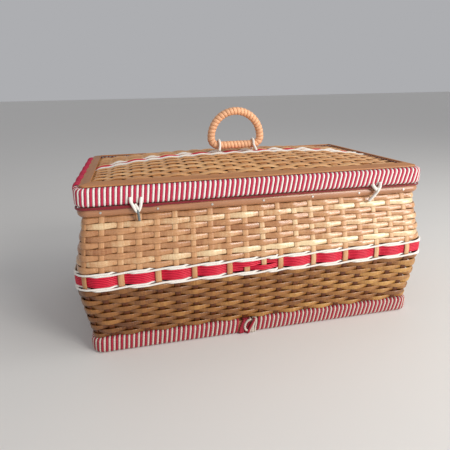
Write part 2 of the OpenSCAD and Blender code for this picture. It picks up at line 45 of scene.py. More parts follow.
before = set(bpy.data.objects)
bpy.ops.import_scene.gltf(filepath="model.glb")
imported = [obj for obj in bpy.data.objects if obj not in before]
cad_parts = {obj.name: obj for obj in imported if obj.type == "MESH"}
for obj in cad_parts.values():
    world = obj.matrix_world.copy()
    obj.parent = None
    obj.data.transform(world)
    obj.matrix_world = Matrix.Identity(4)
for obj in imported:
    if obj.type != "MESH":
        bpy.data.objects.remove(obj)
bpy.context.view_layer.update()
MM = 0.001
TURN = 2 * math.pi


def box_mm(node):
    """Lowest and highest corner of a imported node, in millimetres."""
    return [np.array(corner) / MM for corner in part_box(node)]


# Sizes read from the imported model
FOOT = box_mm("foot_wrap_red")
STAKES = box_mm("stakes_front")
BAND = box_mm("band_strands")
RIM = box_mm("rim_hoop_outer")
RIM_IN = box_mm("rim_hoop_inner")
LINING = box_mm("basket_lining")
EDGE = box_mm("lid_wrap_red")
RIBS = box_mm("lid_ribs")
PANEL = box_mm("lid_frame")
GRIP = box_mm("handle_wrap")
TIES = [box_mm("handle_tie_left"), box_mm("handle_tie_right")]

CORNER_R = 11.5
WRAP_WIDE = 10.2
HALF_LEN = FOOT[1][0]
HALF_DIFF = FOOT[1][0] - FOOT[1][1]
CORNER_X = HALF_LEN - CORNER_R
CORNER_Y = CORNER_X - HALF_DIFF
FOOT_H = FOOT[1][2]
STAKE_T = 1.3
WALL_FOOT = HALF_LEN - 4.1
WALL_BELLY = -STAKES[0][1] + HALF_DIFF - STAKE_T / 2
WALL_RIM = RIM_IN[1][0] + STAKE_T / 2 + 0.1
BELLY_Z = (BAND[0][2] + BAND[1][2]) / 2
RIM_LOW = RIM[0][2]
RIM_TOP = RIM[1][2]

LONG_STAKES = 20
SHORT_STAKES = 11
SIDE_STAKES = (LONG_STAKES, SHORT_STAKES, LONG_STAKES, SHORT_STAKES)
ALL_STAKES = sum(SIDE_STAKES)
FRONT_FIRST = LONG_STAKES + SHORT_STAKES

CROWN_Z = RIBS[1][2] - 0.7
RIB_Z = PANEL[1][2] + 0.8
CROWN = CROWN_Z - RIB_Z
PANEL_X = EDGE[1][0] - CORNER_R
PANEL_Y = RIBS[1][1]
RIB_COUNT, RIB_PITCH, RIB_SHIFT = 18, 18.0, 2.5
RIB_X = RIB_SHIFT + (np.arange(RIB_COUNT) - (RIB_COUNT - 1) / 2) * RIB_PITCH


def wall(z):
    """Half length of the basket's wall at height z: out to the belly, in to the rim."""
    z = np.asarray(z, float)
    low = 1 - np.clip((BELLY_Z - z) / (BELLY_Z - FOOT_H), 0, 1) ** 1.5
    high = np.clip((z - BELLY_Z) / (RIM_LOW - BELLY_Z), 0, 1) ** 1.3
    return np.where(z < BELLY_Z, WALL_FOOT + (WALL_BELLY - WALL_FOOT) * low,
                    WALL_BELLY - (WALL_BELLY - WALL_RIM) * high)


def dome(x, y):
    """Height of the lid panel's middle surface."""
    fall_x = np.minimum(1, np.abs(x) / PANEL_X) ** 3
    fall_y = np.minimum(1, np.abs(y) / PANEL_Y) ** 2.6
    return RIB_Z + CROWN * (1 - fall_x) * (1 - fall_y)


def round_rect(half_x, half_y, radius, s):
    """Points and outward directions at lengths s round a rectangle with round corners.

    It starts at the left end of the top side and runs clockwise.
    """
    flat_x, flat_y = 2 * (half_x - radius), 2 * (half_y - radius)
    arc = math.pi / 2 * radius
    total = 2 * (flat_x + flat_y + 2 * arc)
    s = np.mod(s, total)
    points = np.zeros((len(s), 2))
    normals = np.zeros((len(s), 2))
    start = 0.0
    cx, cy = half_x - radius, half_y - radius
    corners = [(cx, cy), (cx, -cy), (-cx, -cy), (-cx, cy)]
    for side in range(4):
        heading = -side * math.pi / 2
        along = np.array([math.cos(heading), math.sin(heading)])
        out = np.array([-along[1], along[0]])
        flat = flat_x if side % 2 == 0 else flat_y
        here = (s >= start) & (s < start + flat)
        first = np.array(corners[side - 1]) + out * radius
        points[here] = first + np.outer(s[here] - start, along)
        normals[here] = out
        start += flat
        here = (s >= start) & (s <= start + arc)
        turn = heading + math.pi / 2 - (s[here] - start) / max(radius, 1e-6)
        normals[here] = np.stack([np.cos(turn), np.sin(turn)], axis=1)
        points[here] = np.array(corners[side]) + radius * normals[here]
        start += arc
    return points, normals, total


def outline(v, s):
    """The basket's plan at half length v. Side 0 is the back, and the order is clockwise."""
    return round_rect(v, v - HALF_DIFF, v - CORNER_X, s)


def side_middles(v):
    """Lengths at which the middles of the four sides lie on the outline at v."""
    arc = math.pi / 2 * (v - CORNER_X)
    lengths = (2 * CORNER_X, 2 * CORNER_Y) * 2
    middles, start = [], 0.0
    for length in lengths:
        middles.append(start + length / 2)
        start += length + arc
    return middles, start


# How each side's stakes lie about its middle at the belly: shift, pitch, and growth of the pitch
# from one end to the other. Side 2 is the front.
SPREAD = ((0.0, 17.1, 0.0), (6.0, 17.1, 0.0), (10.1, 17.14, -0.033), (0.0, 17.1, 0.0))


def stake_places(z):
    """Lengths of the stakes round the outline at height z, and the whole outline's length."""
    v = float(wall(z))
    middles, total = side_middles(v)
    fan = 0.965 + 0.035 * np.clip((v - WALL_RIM) / (WALL_BELLY - WALL_RIM), 0, 1)
    places = []
    for middle, count, (shift, pitch, growth) in zip(middles, SIDE_STAKES, SPREAD):
        j = np.arange(count) - (count - 1) / 2
        places.append(middle + shift + fan * (pitch * j + growth * j ** 2))
    return np.concatenate(places), total


def bent(depth):
    """Turns a smooth wave into straight runs with a bend over each stake."""
    return np.arcsin(0.95 * np.clip(depth, -1, 1)) / math.asin(0.95)


def unit(vectors):
    return vectors / np.linalg.norm(vectors, axis=-1, keepdims=True)


def again(values):
    """Repeats the first sample at the end, so that a sweep comes round to its start."""
    return np.concatenate([values, values[:1]])


def eased(t):
    """Smooth step from 0 to 1."""
    t = np.clip(t, 0, 1)
    return t * t * (3 - 2 * t)


# Mesh building
def oval(thick, wide, sides=10, lift=0.0):
    """Cross-section of a cord: thickness along the outward direction, width across it."""
    a = np.arange(sides) * TURN / sides
    return np.stack([thick / 2 * np.cos(a) + lift, wide / 2 * np.sin(a)], axis=1)


def full_oval(thick, wide, lift):
    """Cross-section of a reed that fills its height: an oval with fuller shoulders."""
    points = oval(2.0, 2.0, 12)
    points = np.sign(points) * np.abs(points) ** 0.62
    return points * np.array([thick / 2, wide / 2]) + np.array([lift, 0.0])


def splint(thick, wide, crown):
    """Cross-section of a flat splint with a crowned outer face."""
    half, edge = wide / 2, wide / 2 - 0.35
    return np.array([
        [-thick / 2, edge * 0.98], [-thick / 2, -edge * 0.98], [-thick * 0.1, -half],
        [thick * 0.32, -edge * 0.97], [thick / 2 + crown * 0.45, -half * 0.62],
        [thick / 2 + crown, 0], [thick / 2 + crown * 0.45, half * 0.62],
        [thick * 0.32, edge * 0.97], [-thick * 0.1, half]])


def quads(rows, columns, round_rows, round_columns):
    """Faces of a grid of points that may come round in either direction."""
    row = np.arange(rows - 1 + round_rows)[:, None] * columns
    j = np.arange(columns - 1 + round_columns)
    k, after = (j + 1) % columns, (row + columns) % (rows * columns)
    return np.stack([row + j, row + k, after + k, after + j], axis=2).reshape(-1, 4)


def make_piece(name, points, faces, marks, material, body, slot, *nodes):
    """Makes an object, in metres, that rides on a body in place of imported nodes. The marks are
    what its material reads as the length along a strand, the place across it and its tone."""
    mesh = bpy.data.meshes.new(name)
    mesh.from_pydata((points * MM).tolist(), [], faces)
    layer = mesh.attributes.new("strand", "FLOAT_VECTOR", "POINT")
    layer.data.foreach_set("vector", marks.astype(np.float32).ravel())
    mesh.polygons.foreach_set("use_smooth", [True] * len(mesh.polygons))
    mesh.materials.append(bpy.data.materials[material])
    mesh.update()
    obj = bpy.data.objects.new(name, mesh)
    bpy.context.scene.collection.objects.link(obj)
    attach(obj, body)
    if nodes:
        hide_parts(*nodes)
    return obj


class Strands:
    """Gathers strands swept along paths into one mesh."""

    def __init__(self):
        self.points, self.marks, self.faces, self.count = [], [], [], 0

    def add(self, path, normals, section, tone, closed=False, thick=1.0, wide=1.0):
        """Sweeps a section, scaled by thick and wide; its first axis follows the normals."""
        n, m = len(path), len(section)
        if closed:
            tangent = unit(np.roll(path, -1, axis=0) - np.roll(path, 1, axis=0))
        else:
            tangent = unit(np.gradient(path, axis=0))
        side = unit(np.cross(tangent, normals))
        up = np.cross(side, tangent)
        thick, wide, tone = (np.broadcast_to(v, (n,))[:, None] for v in (thick, wide, tone))
        a, b = section[:, 0] * thick, section[:, 1] * wide
        points = path[:, None] + a[..., None] * up[:, None] + b[..., None] * side[:, None]
        steps = np.linalg.norm(np.diff(path, axis=0), axis=1)
        run = np.concatenate([[0], np.cumsum(steps)])[:, None]
        across = section[:, 1] / np.abs(section[:, 1]).max()
        marks = np.stack(np.broadcast_arrays(run, across, tone), axis=2)
        self.faces += (quads(n, m, closed, True) + self.count).tolist()
        if not closed:
            self.faces.append([self.count + j for j in range(m - 1, -1, -1)])
            self.faces.append([self.count + (n - 1) * m + j for j in range(m)])
        self.points.append(points.reshape(-1, 3))
        self.marks.append(marks.reshape(-1, 3))
        self.count += n * m

    def piece(self, name, material, body, slot, *nodes):
        return make_piece(name, np.concatenate(self.points), self.faces,
                          np.concatenate(self.marks), material, body, slot, *nodes)


def wall_frame(z, s, lift):
    """Points that stand out from the wall by lift at heights z and lengths s, with normals."""
    z = np.broadcast_to(z, s.shape)
    flat, out, _ = outline(float(np.mean(wall(z))), s)
    points = np.column_stack([flat + out * np.asarray(lift)[:, None], z])
    return points, unit(np.column_stack([out, wall(z - 0.5) - wall(z + 0.5)]))


def woven_row(z, sides, steps=10):
    """Lengths and depths (from -1 inside to 1 outside) of a row that passes the stakes on the
    given sides, with the index of the nearest stake."""
    places, total = stake_places(z)
    ahead = np.append(places[1:], places[0] + total)
    t = np.arange(steps) / steps
    s = (places[:, None] + (ahead - places)[:, None] * t).ravel()
    change = np.roll(sides, -1) - sides
    ease = (1 - np.cos(np.pi * t)) / 2
    depth = (sides[:, None] + change[:, None] * ease).ravel()
    nearest = (np.arange(ALL_STAKES)[:, None] + (t >= 0.5)).ravel() % ALL_STAKES
    return s, depth, nearest


def alternating(row, count=ALL_STAKES):
    """Sides on which a row passes its stakes: over one and under the next."""
    return 1 - 2 * ((np.arange(count) + row) % 2)


def smooth_noise(rng, count, spacing, closed=True):
    """Random values that vary slowly over count samples, from -1 to 1."""
    knots = max(4, int(count / spacing))
    values = rng.uniform(-1, 1, knots)
    at = np.arange(count) / count * knots
    i = at.astype(int)
    f = eased(at - i)
    after = (i + 1) % knots if closed else np.minimum(i + 1, knots - 1)
    return values[i % knots] * (1 - f) + values[after] * f


def curve_through(points, steps):
    """Smooth path through a few points."""
    p = np.asarray(points, float)
    p = np.vstack([2 * p[0] - p[1], p, 2 * p[-1] - p[-2]])
    t = (np.arange(steps) / steps)[:, None]
    out = []
    for i in range(1, len(p) - 2):
        a, b, c, d = p[i - 1], p[i], p[i + 1], p[i + 2]
        out.append(0.5 * (2 * b + (c - a) * t + (2 * a - 5 * b + 4 * c - d) * t ** 2
                          + (3 * b - a - 3 * c + d) * t ** 3))
    return np.vstack([np.concatenate(out), p[-2]])


def any_normals(path):
    """Directions square to a path that never flip."""
    tangent = unit(np.gradient(path, axis=0))
    guide = np.eye(3)[np.argmin(np.abs(tangent).max(axis=0))]
    normals = []
    for t in tangent:
        guide = unit(guide - t * guide.dot(t))
        normals.append(guide)
    return np.array(normals)


# Materials
class Value:
    """A node socket that takes part in Python expressions."""

    def __init__(self, tree, socket):
        self.tree, self.socket = tree, socket

    def _math(self, operation, a, b=None):
        node = self.tree.nodes.new("ShaderNodeMath")
        node.operation = operation
        for i, value in enumerate((a, b)):
            put(self.tree, node.inputs[i], value)
        return Value(self.tree, node.outputs[0])

    def __add__(self, other): return self._math("ADD", self, other)
    def __radd__(self, other): return self._math("ADD", other, self)
    def __sub__(self, other): return self._math("SUBTRACT", self, other)
    def __mul__(self, other): return self._math("MULTIPLY", self, other)
    def __rmul__(self, other): return self._math("MULTIPLY", other, self)
    def __abs__(self): return self._math("ABSOLUTE", self)

    def sine(self): return self._math("SINE", self)
    def above(self, edge): return self._math("GREATER_THAN", self, edge)

    def span(self, low, high, to_low=0.0, to_high=1.0):
        """Maps low..high to to_low..to_high, clamped."""
        node = self.tree.nodes.new("ShaderNodeMapRange")
        for i, value in enumerate((self, low, high, to_low, to_high)):
            put(self.tree, node.inputs[i], value)
        return Value(self.tree, node.outputs[0])


def put(tree, socket, value):
    """Links a Value to a socket, or sets a plain number or colour there."""
    if isinstance(value, Value):
        tree.links.new(value.socket, socket)
    elif value is not None:
        socket.default_value = value


class Finish:
    """One material and the nodes that it is made of."""

    def __init__(self, name):
        self.material = bpy.data.materials.new(name)
        self.material.use_nodes = True
        self.tree = self.material.node_tree
        self.shader = self.tree.nodes["Principled BSDF"]

    def node(self, kind, output=0, settings=None, **inputs):
        """Adds a node; inputs are named by their sockets with _ for a space."""
        node = self.tree.nodes.new("ShaderNode" + kind)
        for key, value in (settings or {}).items():
            setattr(node, key, value)
        for key, value in inputs.items():
            put(self.tree, node.inputs[key.replace("_", " ")], value)
        return Value(self.tree, node.outputs[output])

    def parts(self, vector):
        node = self.tree.nodes.new("ShaderNodeSeparateXYZ")
        put(self.tree, node.inputs[0], vector)
        return [Value(self.tree, out) for out in node.outputs]

    def place(self, x, y, z):
        return self.node("CombineXYZ", X=x, Y=y, Z=z)

    def strand(self):
        """Length along the strand in mm, place across it (-1 to 1), and its tone."""
        return self.parts(self.node("Attribute", 1, {"attribute_name": "strand"}))

    def spot(self):
        """Place on the object in mm."""
        return [c * 1000.0 for c in self.parts(self.node("TexCoord", 3))]

    def noise(self, vector, detail=2.0, rough=0.5):
        return self.node("TexNoise", 0, Vector=vector, Scale=1.0, Detail=detail, Roughness=rough)

    def mix(self, fac, a, b, mode="MIX"):
        node = self.tree.nodes.new("ShaderNodeMix")
        node.data_type, node.blend_type = "RGBA", mode
        for i, value in ((0, fac), (6, a), (7, b)):
            put(self.tree, node.inputs[i], value)
        return Value(self.tree, node.outputs[2])

    def bump(self, height, strength, distance_mm):
        return self.node("Bump", 0, Height=height, Strength=strength, Distance=distance_mm * MM)

    def finish(self, color, roughness, normal=None, **fixed):
        put(self.tree, self.shader.inputs["Base Color"], color)
        put(self.tree, self.shader.inputs["Roughness"], roughness)
        put(self.tree, self.shader.inputs["Normal"], normal)
        for key, value in fixed.items():
            self.shader.inputs[key.replace("_", " ")].default_value = value
        return self.material


def lacquer(f, color, brown, fleck, fibre, relief, gloss, coat):
    """Ends a cane finish: dark flecks, and a lacquer whose gloss follows the fibres."""
    color = f.mix(fleck, color, scaled(brown, 0.4))
    rough = fibre.span(0.3, 0.7, gloss - 0.06, gloss + 0.14)
    return f.finish(color, rough, f.bump(fibre, relief, 0.25), Coat_Weight=coat,
                    Coat_Roughness=0.22, Specular_IOR_Level=0.5)


def cane(name, pale, tan, brown, gloss, coat, rim):
    """Lacquered cane on strands: tone by strand, long fibres, painted shade at its edges and
    joints. A tone below zero gets a deep painted shade."""
    f = Finish(name)
    run, across, tone = f.strand()
    fibre = f.noise(f.place(run * 0.035, across * 4.0, tone * 37.0), 3.0, 0.6)
    patch = f.noise(f.place(run * 0.045, across * 0.25, tone * 91.0), 2.0)
    lightness = tone + (patch - 0.5) * 0.55 + (fibre - 0.5) * 0.5
    color = f.mix(lightness.span(0.0, 0.5), brown, tan)
    color = f.mix(lightness.span(0.5, 1.0), color, pale)
    # Tones below zero mix into a very dark brown: painted shade, used on the stakes below the band.
    painted_shade = [brown[0] * 0.34, brown[1] * 0.22, brown[2] * 0.1, 1]
    color = f.mix(lightness.span(-0.5, 0.0), painted_shade, color)
    # Darker towards the strand's edges, by rim: painted shade where strands meet and overlap.
    color = f.mix(abs(across).span(0.7, 1.05) * rim, color, scaled(brown, 0.45))
    fleck = f.noise(f.place(run * 0.5, across * 9.0, tone * 11.0), 1.0).span(0.66, 0.8)
    return lacquer(f, color, brown, fleck * 0.35, fibre, 0.35, gloss, coat)


def cane_solid(name, tan, gloss, coat):
    """The same cane on a packed hoop or strip: its fibres run along the side that it lies on."""
    f = Finish(name)
    pale, brown = scaled(tan, 1.25), scaled(tan, 0.6)
    x, y, z = f.spot()
    nx, ny, _ = f.parts(f.node("NewGeometry", 1))
    on_end = (abs(nx) - abs(ny)).above(0.0)
    run = x + (y - x) * on_end
    across = (x + y) - run + z
    fibre = f.noise(f.place(run * 0.02, across * 1.7, on_end * 9.0), 3.0, 0.6)
    patch = f.noise(f.place(run * 0.02, across * 0.12, 3.0), 2.0)
    lightness = 0.5 + (patch - 0.5) * 0.7 + (fibre - 0.5) * 0.55
    color = f.mix(lightness.span(0.15, 0.5), brown, tan)
    color = f.mix(lightness.span(0.5, 0.85), color, pale)
    fleck = f.noise(f.place(run * 0.3, across * 2.5, 8.0), 1.0).span(0.68, 0.82)
    return lacquer(f, color, brown, fleck * 0.4, fibre, 0.3, gloss, coat)


def dyed_strand(name, color, shade):
    """Glossy dyed strand with painted shade in the grooves at its sides and fine streaks along it."""
    f = Finish(name)
    run, across, tone = f.strand()
    streak = f.noise(f.place(run * 0.012, across * 2.5, tone * 31.0), 2.0)
    # Darker towards the strand's sides: painted shade in the grooves between strands.
    mixed = f.mix(abs(across).span(0.55, 1.0) * 0.45, color, shade)
    mixed = f.mix(streak.span(0.5, 0.8) * 0.2, mixed, shade)
    return f.finish(mixed, streak.span(0.3, 0.7, 0.45, 0.55), f.bump(streak, 0.1, 0.1),
                    Coat_Weight=0.05, Coat_Roughness=0.3)


def cord_finish(name, color, shade, gloss):
    """Cord with a shallow twist, with painted shade in its grooves and patches of wear."""
    twist_pitch = 2.4
    f = Finish(name)
    run, across, tone = f.strand()
    lay = (run * (TURN / twist_pitch) + across * 1.6).sine()
    fuzz = f.noise(f.place(run * 1.3, across * 3.0, tone * 53.0), 3.0, 0.65)
    wear = f.noise(f.place(run * 0.06, across * 0.4, tone * 17.0), 2.0)
    groove = lay.span(-1.0, 0.2, 1.0, 0.0)
    # The grooves of the twist darken as painted shade; the wear patches are tone that varies along the
    # cord.
    mixed = f.mix(groove * 0.35 + wear.span(0.45, 0.75) * 0.3, color, shade)
    mixed = f.mix(fuzz.span(0.35, 0.7) * 0.18, mixed, shade)
    height = lay * 0.5 + fuzz * 0.5
    return f.finish(mixed, fuzz.span(0.2, 0.8, gloss, gloss + 0.2), f.bump(height, 0.4, 0.18),
                    Sheen_Weight=0.05, Sheen_Roughness=0.5)


def cloth_finish(name, color, shade):
    """Plain-woven cotton with fine threads and soft wear."""
    f = Finish(name)
    run, across, tone = f.strand()
    thread_pitch = 0.8
    threads = (run * (TURN / thread_pitch)).sine() * (across * (TURN / thread_pitch)).sine()
    soft = f.noise(f.place(run * 0.03, across * 0.03, tone), 3.0)
    slub = f.noise(f.place(run * 2.0, across * 0.15, 4.0), 2.0)
    mixed = f.mix(threads.span(-1.0, 1.0) * 0.35 + soft.span(0.35, 0.7) * 0.35, color, shade)
    mixed = f.mix(slub.span(0.55, 0.8) * 0.2, mixed, shade)
    return f.finish(mixed, soft.span(0.2, 0.8, 0.75, 0.92), f.bump(threads + slub, 0.5, 0.15),
                    Sheen_Weight=0.25, Sheen_Roughness=0.5)


def metal_finish(name, color):
    """Dull pin metal with a few darker spots."""
    f = Finish(name)
    x, y, z = f.spot()
    spots = f.noise(f.place(x * 2.0, y * 2.0, z * 2.0), 3.0)
    mixed = f.mix(spots.span(0.5, 0.75) * 0.6, color, scaled(color, 0.35))
    return f.finish(mixed, spots.span(0.2, 0.8, 0.45, 0.65), f.bump(spots, 0.3, 0.1), Metallic=0.6)


def floor_finish(name, color):
    """Plain pale floor."""
    f = Finish(name)
    x, y, _ = f.spot()
    grain = f.noise(f.place(x * 0.01, y * 0.01, 0.0), 2.0)
    mixed = f.mix(grain.span(0.3, 0.7) * 0.05, color, scaled(color, 0.9))
    return f.finish(mixed, 0.75)


def scaled(rgb, gain):
    return [c * gain for c in rgb[:3]] + [1.0]


# Settings
def length(label, value, about):
    return bpy.props.FloatProperty(name=label, description=about, default=value * MM,
                                   min=0.0, unit="LENGTH", precision=5)


def color(label, rgb, about):
    return bpy.props.FloatVectorProperty(name=label, description=about, size=3, min=0.0, max=255.0,
                                         default=rgb, subtype="COLOR")


class BasketSizes(bpy.types.PropertyGroup):
    """Sizes of the strands that dress the basket."""

    stake_wide: length("Stake width", 5.6, "Width of an upright stake")
    splint_wide: length("Splint width", 5.7, "Width of a flat splint above the band")
    splint_thick: length("Splint thickness", 0.9, "Thickness of a flat splint")
    reed_wide: length("Reed width", 4.9, "Height of a reed below the band")
    reed_thick: length("Reed thickness", 1.6, "Thickness of a reed below the band")
    twine_thick: length("Twine thickness", 1.9, "Thickness of a white twining cord")
    turn_pitch: length("Turn pitch", 4.6, "Distance between white turns of the lashings")
    red_wide: length("Red turn width", 2.6, "Width of a red turn of the lashings")
    white_wide: length("White turn width", 2.25, "Width of a white turn of the lashings")
    cane_wide: length("Winding width", 4.1, "Width of the handle's winding cane")


class BasketColors(bpy.types.PropertyGroup):
    """Display colours of the finishes."""

    straw: color("Straw", (232, 206, 162), "Palest cane")
    tan: color("Tan", (194, 142, 96), "Common cane")
    brown: color("Brown", (150, 94, 54), "Darkest cane above the band")
    reed_pale: color("Pale reed", (206, 158, 86), "Palest reed below the band")
    reed_tan: color("Reed", (150, 98, 44), "Common reed below the band")
    reed_brown: color("Dark reed", (94, 50, 16), "Darkest reed below the band")
    lid_pale: color("Pale lid cane", (234, 190, 134), "Palest cane of the lid")
    lid_tan: color("Lid cane", (216, 160, 102), "Common cane of the lid")
    lid_brown: color("Dark lid cane", (172, 110, 60), "Darkest cane of the lid")
    hoop: color("Hoop", (170, 116, 80), "Rim hoop")
    strip: color("Strip", (180, 122, 76), "Flat strips of the lid")
    handle: color("Handle", (228, 172, 130), "Handle winding")
    red: color("Red", (190, 16, 52), "Red cord")
    red_shade: color("Red shade", (120, 8, 28), "Worn or shaded red cord")
    white: color("White", (238, 243, 240), "White cord")
    white_shade: color("White shade", (186, 184, 178), "Grooves of the white cord")
    # Warm aged tint, darkened as painted shade for the cord near the floor.
    aged_white_in_shade: color("Aged white", (206, 192, 178), "White cord of the foot")
    band: color("Band", (214, 12, 54), "Dyed strands of the belly and ridge bands")
    grey: color("Grey cord", (112, 122, 124), "Worn cord in the rim")
    cloth: color("Cloth", (138, 12, 30), "Lining cloth")
    steel: color("Steel", (70, 62, 52), "Pin heads")
    floor: color("Floor", (226, 224, 220), "Floor")


def size(name):
    """A size of the panel, in millimetres."""
    return getattr(bpy.context.scene.basket_sizes, name) / MM


def tint(name, gain=1.0):
    """A display colour of the panel, from 0 to 255, as a scene colour."""
    rgb = getattr(bpy.context.scene.basket_colors, name)
    return scaled([((c / 255 + 0.055) / 1.055) ** 2.4 if c > 10 else c / 3295 for c in rgb], gain)


class Piece:
    """What every operator of this file shares."""

    bl_options = {"REGISTER", "UNDO"}

    def execute(self, context):
        self.make(context)
        return {"FINISHED"}


class BASKET_OT_finishes(Piece, bpy.types.Operator):
    """Makes the materials"""

    bl_idname = "basket.finishes"
    bl_label = "Finishes"

    def make(self, context):
        # In the cane calls below, the last number (rim) is the strength of the painted shade at strand
        # edges.
        for name, tones, gloss, coat, rim in (
                ("cane_upper", ("straw", "tan", "brown"), 0.26, 0.6, 0.25),
                ("cane_stake", ("straw", "tan", "brown"), 0.42, 0.1, 0.2),
                ("cane_lower", ("reed_pale", "reed_tan", "reed_brown"), 0.36, 0.3, 0.12),
                ("cane_lid", ("lid_pale", "lid_tan", "lid_brown"), 0.42, 0.25, 0.3)):
            cane(name, *map(tint, tones), gloss, coat, rim)
        cane("cane_handle", tint("handle", 1.25), tint("handle"), tint("handle", 0.85), 0.55, 0.08, 0.2)
        cane_solid("cane_hoop", tint("hoop"), 0.32, 0.5)
        cane_solid("cane_strip", tint("strip"), 0.5, 0.0)
        cord_finish("cord_red", tint("red"), tint("red_shade"), 0.5)
        # The foot's cords are darker copies of the red and white cords: painted shade near the floor.
        cord_finish("cord_red_foot", tint("red", 0.75), tint("red_shade", 0.75), 0.6)
        dyed_strand("band_red", tint("band"), tint("red_shade", 0.8))
        cord_finish("cord_white", tint("white"), tint("white_shade"), 0.5)
        cord_finish("cord_white_foot", tint("aged_white_in_shade"), tint("aged_white_in_shade", 0.6), 0.6)
        cord_finish("cord_grey", tint("grey"), tint("grey", 0.5), 0.6)
        cloth_finish("cloth_red", tint("cloth"), tint("red_shade", 0.7))
        metal_finish("pin_metal", tint("steel"))


class BASKET_OT_stakes(Piece, bpy.types.Operator):
    """Weaves in the upright stakes"""

    bl_idname = "basket.stakes"
    bl_label = "Stakes"

    def make(self, context):
        heights = np.linspace(4.0, RIM_TOP - 0.8, 48)
        frames = [wall_frame(z, stake_places(z)[0], np.zeros(ALL_STAKES)) for z in heights]
        paths, normals = (np.stack(part, axis=1) for part in zip(*frames))
        # Stakes below the band are pushed to a deep brown: painted shade under the belly.
        painted_shade = 1.1 * eased((BELLY_Z - 6 - heights) / 3)
        rng = np.random.default_rng(11)
        first = 0
        for name, count in zip(("back", "right", "front", "left"), SIDE_STAKES):
            strands = Strands()
            for k in range(first, first + count):
                section = splint(0.9, size("stake_wide") * rng.uniform(0.93, 1.08), 0.2)
                # The tone also rises towards +x: a painted light gradient, brighter on the lit right
                # side.
                tone = rng.uniform(0.42, 0.72) + 0.16 * paths[k, :, 0] / HALF_LEN - painted_shade
                strands.add(paths[k], normals[k], section, tone)
            strands.piece("stake_set_" + name, "cane_stake", "basket", "cane_mid", "stakes_" + name)
            first += count


class BASKET_OT_upper_weave(Piece, bpy.types.Operator):
    """Weaves the flat splints above the band"""

    bl_idname = "basket.upper_weave"
    bl_label = "Upper weave"

    def make(self, context):
        low = BAND[1][2] + 3.4
        row_tones = [0.5, 0.86, 0.46, 0.44, 0.5, 0.42, 0.46, 0.88, 0.55]
        pitch = (RIM_LOW - 0.3 - low) / len(row_tones)
        rng = np.random.default_rng(5)
        strands = Strands()
        thick = size("splint_thick")
        section = splint(thick, size("splint_wide"), 0.35)
        out = 0.45 + thick / 2 + 0.15
        for row, row_tone in enumerate(row_tones):
            s, depth, near = woven_row(low + (row + 0.5) * pitch, alternating(row))
            depth = bent(depth)
            drift = smooth_noise(rng, len(s), 90) * 0.2
            jitter = rng.uniform(-1, 1, ALL_STAKES)[near]
            z = low + (row + 0.5) * pitch + drift + 0.12 * jitter
            path, normals = wall_frame(z, s, depth * out)
            # Tone: random per row, float and stretch, plus painted shade where the splint dips behind a
            # stake and a painted light gradient, brighter towards +x.
            tone = (row_tone + smooth_noise(rng, len(s), 70) * 0.14 + jitter * 0.15
                    - 0.06 * (1 - depth) + 0.15 * path[:, 0] / HALF_LEN)
            strands.add(again(path), again(normals), section, again(tone),
                        wide=again(0.97 + 0.15 * depth ** 2))
        strands.piece("upper_splints", "cane_upper", "basket", "cane_light", "upper_weavers")


class BASKET_OT_lower_weave(Piece, bpy.types.Operator):
    """Weaves the reeds below the band"""

    bl_idname = "basket.lower_weave"
    bl_label = "Lower weave"

    def make(self, context):
        low, high, rows, lift = FOOT_H + 0.6, BAND[0][2] - 3.5, 11, 1.55
        pitch = (high - low) / rows
        rng = np.random.default_rng(8)
        strands = Strands()
        section = full_oval(size("reed_thick"), size("reed_wide"), 0.2)
        for row in range(rows):
            s, depth, near = woven_row(low + (row + 0.5) * pitch, alternating(row))
            depth = 0.4 * depth + 0.6 * bent(depth)
            z = low + (row + 0.5) * pitch + smooth_noise(rng, len(s), 60) * 0.35
            jitter = rng.uniform(-1, 1, ALL_STAKES)[near]
            path, normals = wall_frame(z, s, depth * lift)
            # Tone: random per row and stretch, plus painted shade where the reed dips behind a stake
            # and a painted light gradient, brighter towards +x.
            tone = (0.5 + 0.12 * rng.uniform(-1, 1) + smooth_noise(rng, len(s), 60) * 0.2
                    + jitter * 0.12 - 0.1 * (1 - depth) + 0.16 * path[:, 0] / HALF_LEN)
            strands.add(again(path), again(normals), section, again(tone),
                        wide=again(0.95 + 0.19 * np.clip(depth, 0, 1) ** 2))
        strands.piece("lower_reeds", "cane_lower", "basket", "cane_dark", "lower_weavers")


# In the band every other stake shows. The pattern slips by one stake at a splice in the front
# and at one in the back, where two neighbours show.
FRONT_SPLICE = FRONT_FIRST + 9
BACK_SPLICE = 11
SHOWN = [*range(BACK_SPLICE, FRONT_SPLICE, 2), *range(FRONT_SPLICE, ALL_STAKES, 2),
         *range(0, BACK_SPLICE, 2)]


